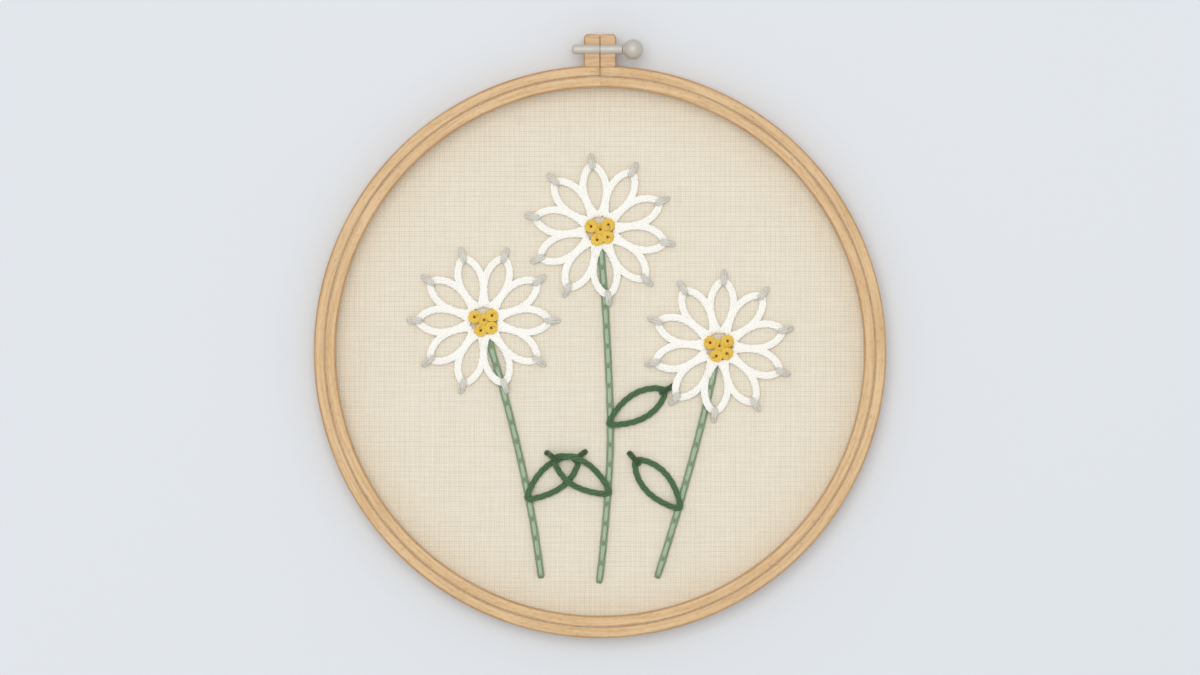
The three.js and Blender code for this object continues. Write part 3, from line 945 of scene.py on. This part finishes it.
# %% Leaves
LEAF_SIZE = (2.3, 1.9)
TIE_SIZE = (2.25, 1.7)
TIE_ENDS = {"dip": 0.75, "depth": 0.8, "pinch": 0.92, "step": 0.25}
TIE_STRANDS = {"strands": 5, "size": TIE_SIZE, "radius": 0.43, "twist_mm": 40, "step": 0.4}
PRESSED = 0.4
leaf_loops, leaf_ties = {}, {}
for name, leaf in LEAVES.items():
    line = stems[leaf["stem"]]
    root = line[round(leaf["along"] * (len(line) - 1))]
    below = [cords[leaf["stem"]]] + ([leaf_loops["leaf_left"]] if name == "leaf_middle_low" else [])
    leaf_loops[name] = lay(chain_loop(root, leaf["heading"], LEAF), LEAF_SIZE, below, depth=0.85, pinch=0.75,
                           pressed=PRESSED)
    leaf_ties[name] = lay(tie_line(root, leaf["heading"], LEAF_TIE), TIE_SIZE, list(leaf_loops.values()),
                          **TIE_ENDS)
threads("leaf_loops", list(leaf_loops.values()), leaf_cotton, "leaf_thread", list(LEAVES), seed=21,
        strands=5, size=LEAF_SIZE, radius=0.42, twist_mm=15)
threads("leaf_ties", list(leaf_ties.values()), pine_cotton, "leaf_tie_thread",
        [name + "_tie" for name in LEAVES], seed=22, **TIE_STRANDS)

# %% [markdown]
# Petals and their ties. Ten loops start from a small circle, so their sides touch for the first part of the
# way, as ten real stitches from one centre do. A short grey stitch holds each tip. The right daisy is worked
# over the tip of the high middle leaf.

# %% Petals
PETAL_SIZE = (2.85, 1.95)


def headings_of(daisy):
    return [daisy["turn"] + 360 / PETALS * i for i in range(PETALS)]


for order, (name, daisy) in enumerate(DAISIES.items()):
    place, cord, seed = daisy["place"], cords[name], 30 + 10 * order
    below = [cord]
    if name == "right":
        below += [leaf_ties["leaf_middle_high"], leaf_loops["leaf_middle_high"]]
    loops = [lay(chain_loop(place, heading, PETAL), PETAL_SIZE, below, pressed=PRESSED)
             for heading in headings_of(daisy)]
    ties = [lay(tie_line(place, heading, PETAL_TIE), TIE_SIZE, [loop, cord], **TIE_ENDS)
            for heading, loop in zip(headings_of(daisy), loops)]
    threads(f"petals_{name}", loops, white_cotton, "petal_thread", [f"daisy_{name}_petals"], seed=seed,
            strands=6, size=PETAL_SIZE, radius=0.5, twist_mm=15)
    threads(f"petal_ties_{name}", ties, grey_cotton, "tie_thread",
            [f"daisy_{name}_tie_{i + 1}" for i in range(PETALS)], seed=seed + 1, **TIE_STRANDS)

# %% [markdown]
# French knots. The thread comes up, is wound into a tight coil of more than two turns, and goes down
# through the middle of it. That leaves a bun with a small hole, which is darker because light does not
# reach it; the thread's colour is also painted darker towards the hole, as painted shade. The central knot
# is worked first and lies lowest.

# %% French knots
KNOT_SIZE = (1.95, 1.6)
KNOT_TURNS = 2.6
COIL_RADIUS, COIL_SHRINKS = 1.58, 0.2
HOLE_RADIUS = 0.42
COMES_UP, GOES_DOWN = 0.06, 0.86
KNOT_RISE = 1.15
START_DIP, END_DIP = 0.8, 1.4
FIRST_KNOT_LOWER = 0.75


def knot_places(daisy):
    return [(daisy["place"][0] + x, daisy["place"][1] + y) for x, y in KNOTS]


def french_knot(place, first_angle, low):
    share = np.linspace(0, 1, 90)
    angle = first_angle + math.tau * KNOT_TURNS * share
    closing = np.clip((share - GOES_DOWN) / (1 - GOES_DOWN), 0, 1)
    radius = (COIL_RADIUS - COIL_SHRINKS * share) * np.clip(share / COMES_UP + 0.35, 0, 1)
    radius = radius * (1 - closing) + HOLE_RADIUS * closing
    z = CLOTH_MM + KNOT_SIZE[1] / 2 + KNOT_RISE * np.clip((share - 0.3) / 0.3, 0, 1) ** 1.3
    z = z - np.clip(1 - share / COMES_UP, 0, 1) * START_DIP - closing ** 1.5 * END_DIP - low
    z = np.maximum(z, CLOTH_MM)
    flat = np.stack([place[0] + radius * np.cos(angle), place[1] + radius * np.sin(angle)], axis=1)
    holes.append(np.array(place, float))
    # The thread's colour is painted darker as it closes into the hole: painted shade.
    return {"points": np.column_stack([flat, z]), "pinch": np.clip(1.2 - closing * 0.5, 0, 1),
            "painted_shade": closing ** 0.7}


chance = random.Random(5)
for seed, (name, daisy) in enumerate(DAISIES.items(), 60):
    knots = [french_knot(place, chance.uniform(0, math.tau), FIRST_KNOT_LOWER if i == 0 else 0.0)
             for i, place in enumerate(knot_places(daisy))]
    threads(f"knots_{name}", knots, gold_cotton, "knot_thread", [f"daisy_{name}_knots"], seed=seed,
            strands=5, size=KNOT_SIZE, radius=0.36, twist_mm=7, uneven=0.08, step=0.4)

# %% [markdown]
# The back of the work. A thread crosses there from where one stitch ends to where the next one starts, so
# the back tells how the front was made: short hops between petals, long chords from tie to tie, and tails
# run in along the stems.

# %% Runs on the back
BACK_SIZE = (1.25, 0.5)
BACK_LEVEL = 0.29
BACK_RISE = 0.45
RISE_LENGTH = 0.7


def on_back(flat):
    """A path that lies on the cloth's back and rises into the cloth at its ends."""
    rise = np.clip(1 - from_ends(flat) / RISE_LENGTH, 0, 1) ** 2
    points = np.column_stack([flat, BACK_LEVEL + rise * BACK_RISE])
    return {"points": points, "pinch": 1 - 0.3 * rise, "painted_shade": 0.0}


def back_run(start, end, chance, bow=0.35):
    """A run from hole to hole, a little slack to one side."""
    share = np.linspace(0, 1, 16)[:, None]
    start, end = np.array(start, float), np.array(end, float)
    along = end - start
    length = max(np.linalg.norm(along), 0.5)
    aside = np.array([-along[1], along[0]]) / length * chance.uniform(-bow, bow)
    return on_back(evenly(start + along * share + aside * np.sin(math.pi * share), min(0.5, length / 4)))


def ends_of(path):
    return path["points"][0, :2], path["points"][-1, :2]


print("back helpers ready")

# %% Threads on the back
TOP_TAIL, FOOT_TAIL = 34, 40  # points of a stem's line
chance = random.Random(9)
backs = {kind: [] for kind in ("petal", "tie", "knot", "stem", "stitch", "leaf", "leaf_tie")}
for name, daisy in DAISIES.items():
    place, headings = daisy["place"], headings_of(daisy)
    for this, following in zip(headings, headings[1:]):
        bases = [on_heading(place, heading, PETAL["start"], 0.0) for heading in (this, following)]
        backs["petal"].append(back_run(*bases, chance))
        outer = on_heading(place, this, PETAL_TIE[1], 0.0)
        inner = on_heading(place, following, PETAL_TIE[0], 0.0)
        backs["tie"].append(back_run(outer, inner, chance))
    places = knot_places(daisy)
    backs["knot"] += [back_run(a, b, chance) for a, b in zip(places, places[1:])]
    tails = stems[name][:TOP_TAIL], stems[name][-FOOT_TAIL:]
    backs["stem"] += [on_back(evenly(tail, 0.5)) for tail in tails]
for before, after in zip(dashes, dashes[1:]):
    hop = ends_of(before)[0], ends_of(after)[1]
    if np.linalg.norm(hop[0] - hop[1]) < STITCH_PITCH:
        backs["stitch"].append(back_run(*hop, chance, bow=0.1))
for name in LEAVES:
    root, (inner, outer) = ends_of(leaf_loops[name])[0], ends_of(leaf_ties[name])
    backs["leaf"].append(back_run(root, inner, chance, bow=0.8))
    backs["leaf_tie"].append(back_run(outer, inner, chance, bow=1.2))
for seed, (kind, material, slot) in enumerate((
        ("petal", white_cotton, "petal_thread"), ("tie", grey_cotton, "tie_thread"),
        ("knot", gold_cotton, "knot_thread"), ("stem", sage_cotton, "stem_thread"),
        ("stitch", mint_cotton, "stem_thread"), ("leaf", leaf_cotton, "leaf_thread"),
        ("leaf_tie", pine_cotton, "leaf_tie_thread")), 80):
    threads(f"{kind}_backs", backs[kind], material, slot, [], seed=seed, strands=5, size=BACK_SIZE,
            radius=0.25, twist_mm=40, uneven=0.06, step=0.5, sides=6)

# %% [markdown]
# Linen. One round sheet lies flat, turns up between the rings and ends just below their front. Its face is
# drawn in a little at every stitch hole. The flat position of each point before the hoop was closed is kept
# as its UV, so the weave runs on up the wall without stretching.

# %% Linen outline
SHEET_FOLD = 0.6 * MM
SHEET_EDGE = RING_FRONT - 0.6 * MM
WALL_INSIDE = HOOP_SIZE / 2 - CLOTH_IN_SEAM / 2


def linen_outline():
    """(radius, height, outward r, outward z, flat distance) from the middle to the cut edge."""
    rows = [(r, CLOTH_TOP, 0.0, -1.0) for r in np.linspace(0.0, WALL_INSIDE - SHEET_FOLD, 66)[1:]]
    for angle in np.linspace(0, math.pi / 2, 6)[1:]:
        rows.append((WALL_INSIDE - SHEET_FOLD + SHEET_FOLD * math.sin(angle),
                     CLOTH_TOP + SHEET_FOLD * (1 - math.cos(angle)), math.sin(angle), -math.cos(angle)))
    rows += [(WALL_INSIDE, z, 1.0, 0.0) for z in np.linspace(CLOTH_TOP + SHEET_FOLD, SHEET_EDGE, 5)[1:]]
    flat = [rows[0][0]]
    for before, after in zip(rows, rows[1:]):
        flat.append(flat[-1] + math.hypot(after[0] - before[0], after[1] - before[1]))
    return [row + (distance,) for row, distance in zip(rows, flat)]


sheet_rows = linen_outline()

# %% Linen sheet
HOLE_DEPTH = 0.28 * MM
HOLE_SPREAD = 0.9 * MM
BACK_DENT = 0.4
SHEET_STEPS = 384


def drawn_in(x, y):
    depth = np.zeros_like(x)
    for hole in np.unique(np.round(np.array(holes), 1), axis=0) * MM:
        near = (x - hole[0]) ** 2 + (y - hole[1]) ** 2
        depth = np.maximum(depth, np.exp(-near / (2 * HOLE_SPREAD ** 2)))
    return depth * HOLE_DEPTH


def linen_mesh():
    angles = np.arange(SHEET_STEPS) * math.tau / SHEET_STEPS
    circle = np.column_stack([np.cos(angles), np.sin(angles)])
    face, back, flat = [], [], []
    for r, z, out_r, out_z, distance in sheet_rows:
        dent = drawn_in(*(r * circle).T) if out_z < -0.99 else np.zeros(SHEET_STEPS)
        face.append(np.column_stack([r * circle, z - dent]))
        wide, low = r + out_r * CLOTH_IN_SEAM, z + out_z * CLOTH - BACK_DENT * dent
        back.append(np.column_stack([wide * circle, low]))
        flat.append(distance * circle)
    size, last = len(sheet_rows) * SHEET_STEPS, (len(sheet_rows) - 1) * SHEET_STEPS
    points = np.vstack(face + back + [[[0, 0, CLOTH_TOP]], [[0, 0, CLOTH_TOP - CLOTH]]])
    uv = np.vstack(flat + flat + [[[0, 0]], [[0, 0]]])
    faces = []
    for row in range(0, last, SHEET_STEPS):
        for j in range(SHEET_STEPS):
            a, b = row + j, row + (j + 1) % SHEET_STEPS
            c, d = b + SHEET_STEPS, a + SHEET_STEPS
            faces += [(a, d, c, b), (size + a, size + b, size + c, size + d)]
    for j in range(SHEET_STEPS):
        k = (j + 1) % SHEET_STEPS
        faces += [(2 * size, j, k), (2 * size + 1, size + k, size + j),
                  (last + j, size + last + j, size + last + k, last + k)]
    mesh = smooth_mesh("linen_cloth", [tuple(p) for p in points], faces)
    corners = np.empty(len(mesh.loops), dtype=np.int32)
    mesh.loops.foreach_get("vertex_index", corners)
    mesh.uv_layers.new(name="flat cloth").data.foreach_set("uv", uv[corners].ravel())
    return mesh


cloth_mesh = linen_mesh()
print("holes:", len(holes))

# %% [markdown]
# Plain weave. Each thread goes over and under in turn, so the height is the higher of two sets of ridges
# that take turns. Linen yarn is uneven: slow noise bends the rows and makes some threads thicker. The hollows
# between the yarns and the loose gaps are painted darker, as painted shade. A thin line after every third
# thread is painted darker too, as painted shade for the wider gap that a weaver's reed leaves.

# %% Plain weave group
YARNS_PER_DENT = 3
REED_PITCH = 1.85 * MM
WANDER = 0.5 * MM


def yarn_set(tree, across, along, salt):
    """For yarns side by side in one direction: height, slow shade, fibres, loose gaps and reed gaps."""
    row = calc(tree, "FLOOR", across)
    ridge = calc(tree, "ABSOLUTE", calc(tree, "SINE", calc(tree, "MULTIPLY", across, math.pi)))
    ridge = calc(tree, "POWER", ridge, 0.6)
    wave = calc(tree, "COSINE", calc(tree, "MULTIPLY", calc(tree, "ADD", along, row), math.pi))
    high = calc(tree, "MULTIPLY", ridge, plus(tree, 0.62, wave, 0.38))
    own = calc(tree, "MULTIPLY", row, 7.31)
    slub = noise(tree, xyz(tree, own, calc(tree, "MULTIPLY", along, 0.05), salt), 1.0, 2)
    loose = noise(tree, xyz(tree, own, calc(tree, "MULTIPLY", along, 0.03), salt + 20.0), 1.0, 1)
    # Loose gaps between yarns are marked here, to be painted darker as painted shade.
    gap = calc(tree, "MULTIPLY", ramp(tree, loose, 0.5, 0.62), ramp(tree, ridge, 0.8, 0.2))
    fine, coarse = calc(tree, "MULTIPLY", across, 7.0), calc(tree, "MULTIPLY", along, 0.8)
    hair = noise(tree, xyz(tree, fine, coarse, salt), 1.0, 2)
    # A thin line after every third yarn, to be painted darker as the shade in a reed's wider gap.
    beat = calc(tree, "COSINE", calc(tree, "MULTIPLY", across, math.tau / YARNS_PER_DENT))
    reed = calc(tree, "POWER", calc(tree, "MAXIMUM", beat, 0.0), 4.0)
    return high, slub, hair, gap, reed


def build_plain_weave():
    tree, given = new_group("plain weave", {"Cloth Position": "Vector", "Pitch": "Float", "Light": "Color",
                                            "Dark": "Color"})
    bend = vcalc(tree, "SUBTRACT", noise(tree, given["Cloth Position"], 90.0, 2, "Color"), (0.5, 0.5, 0.5))
    place = vcalc(tree, "ADD", given["Cloth Position"], vcalc(tree, "SCALE", bend, WANDER))
    cell = vcalc(tree, "SCALE", place, calc(tree, "DIVIDE", 1.0, given["Pitch"]))
    x, y, _ = list(put(tree, "ShaderNodeSeparateXYZ", {"Vector": cell}).outputs)
    warp = yarn_set(tree, x, calc(tree, "SUBTRACT", y, 0.5), 3.0)
    weft = yarn_set(tree, y, calc(tree, "ADD", x, 0.5), 9.0)
    over = calc(tree, "GREATER_THAN", warp[0], weft[0])
    under = calc(tree, "SUBTRACT", 1.0, over)
    slub, hair = (plus(tree, calc(tree, "MULTIPLY", a, over), b, under) for a, b in zip(warp[1:3], weft[1:3]))
    height, gap, reed = (calc(tree, "MAXIMUM", warp[i], weft[i]) for i in (0, 3, 4))
    hollow = calc(tree, "SUBTRACT", 1.0, height)
    # Hollows between yarns, loose gaps and reed lines are painted darker: painted shade.
    shade = plus(tree, 0.15, hollow, 0.6)
    shade = plus(tree, shade, calc(tree, "SUBTRACT", slub, 0.5), 0.38)
    shade = plus(tree, shade, calc(tree, "SUBTRACT", hair, 0.5), 0.45)
    shade = plus(tree, plus(tree, shade, gap, 0.18), reed, 0.18)
    put(tree, "NodeGroupOutput", {"Color": mixed(tree, shade, given["Light"], given["Dark"]),
                                  "Height": plus(tree, height, hair, 0.35),
                                  "Roughness": plus(tree, 0.8, hollow, 0.15)})
    return tree


plain_weave = build_plain_weave()
print("group:", plain_weave.name)

# %% Linen finish
def linen_finish():
    material, tree, shader = new_finish("natural linen", Sheen_Weight=0.15, Specular_IOR_Level=0.25)
    dress(tree, shader, plain_weave, {
        "Cloth Position": put(tree, "ShaderNodeUVMap", uv_map="flat cloth").outputs["UV"],
        "Pitch": REED_PITCH / YARNS_PER_DENT, "Light": rgb(247, 240, 223), "Dark": rgb(197, 182, 154),
    }, 0.12 * MM, 0.7)
    return material


linen_piece = finished("linen_cloth", cloth_mesh, linen_finish(), "hoop", ["linen"])

# %% [markdown]
# Floor and light. A pale, cool table and soft light from all round give the flat look of the picture. One
# large lamp up and to the left gives each thread a lit side and a soft shadow.

# %% Floor and light
TABLE_HALF = 3.0
WORLD_COLOUR = (0.93, 0.96, 1.0, 1)
WORLD_STRENGTH = 0.8
KEY_PLACE = (-0.26, 0.52, 2.6)
KEY_SIZE = 1.7
KEY_WATTS = 26
KEY_COLOUR = (1.0, 0.98, 0.95)


def add_floor():
    mesh = bpy.data.meshes.new("table_top")
    corners = [(x * TABLE_HALF, y * TABLE_HALF, 0) for x, y in ((-1, -1), (1, -1), (1, 1), (-1, 1))]
    mesh.from_pydata(corners, [], [(0, 1, 2, 3)])
    material, tree, shader = new_finish("pale table", Roughness=0.8)
    speckle = noise(tree, own_place(tree), 3.0, 2)
    feed(tree, shader.inputs["Base Color"], mixed(tree, speckle, rgb(221, 223, 226), rgb(217, 220, 223)))
    mesh.materials.append(material)
    floor = bpy.data.objects.new("table_top", mesh)
    bpy.context.scene.collection.objects.link(floor)


def add_key_lamp():
    """A large square lamp that looks at the middle of the hoop."""
    lamp = bpy.data.objects.new("key", bpy.data.lights.new("key", "AREA"))
    lamp.data.size, lamp.data.energy, lamp.data.color = KEY_SIZE, KEY_WATTS, KEY_COLOUR
    lamp.location = KEY_PLACE
    x, y, z = (-value for value in KEY_PLACE)
    lamp.rotation_euler = (math.atan2(math.hypot(x, y), -z), 0, math.atan2(y, x) - math.pi / 2)
    bpy.context.scene.collection.objects.link(lamp)


world = bpy.data.worlds.new("soft studio")
world.use_nodes = True
for key, value in (("Color", WORLD_COLOUR), ("Strength", WORLD_STRENGTH)):
    world.node_tree.nodes["Background"].inputs[key].default_value = value
bpy.context.scene.world = world
add_floor()
add_key_lamp()
bpy.context.scene.view_settings.view_transform = "Standard"
print("floor, world and key lamp")
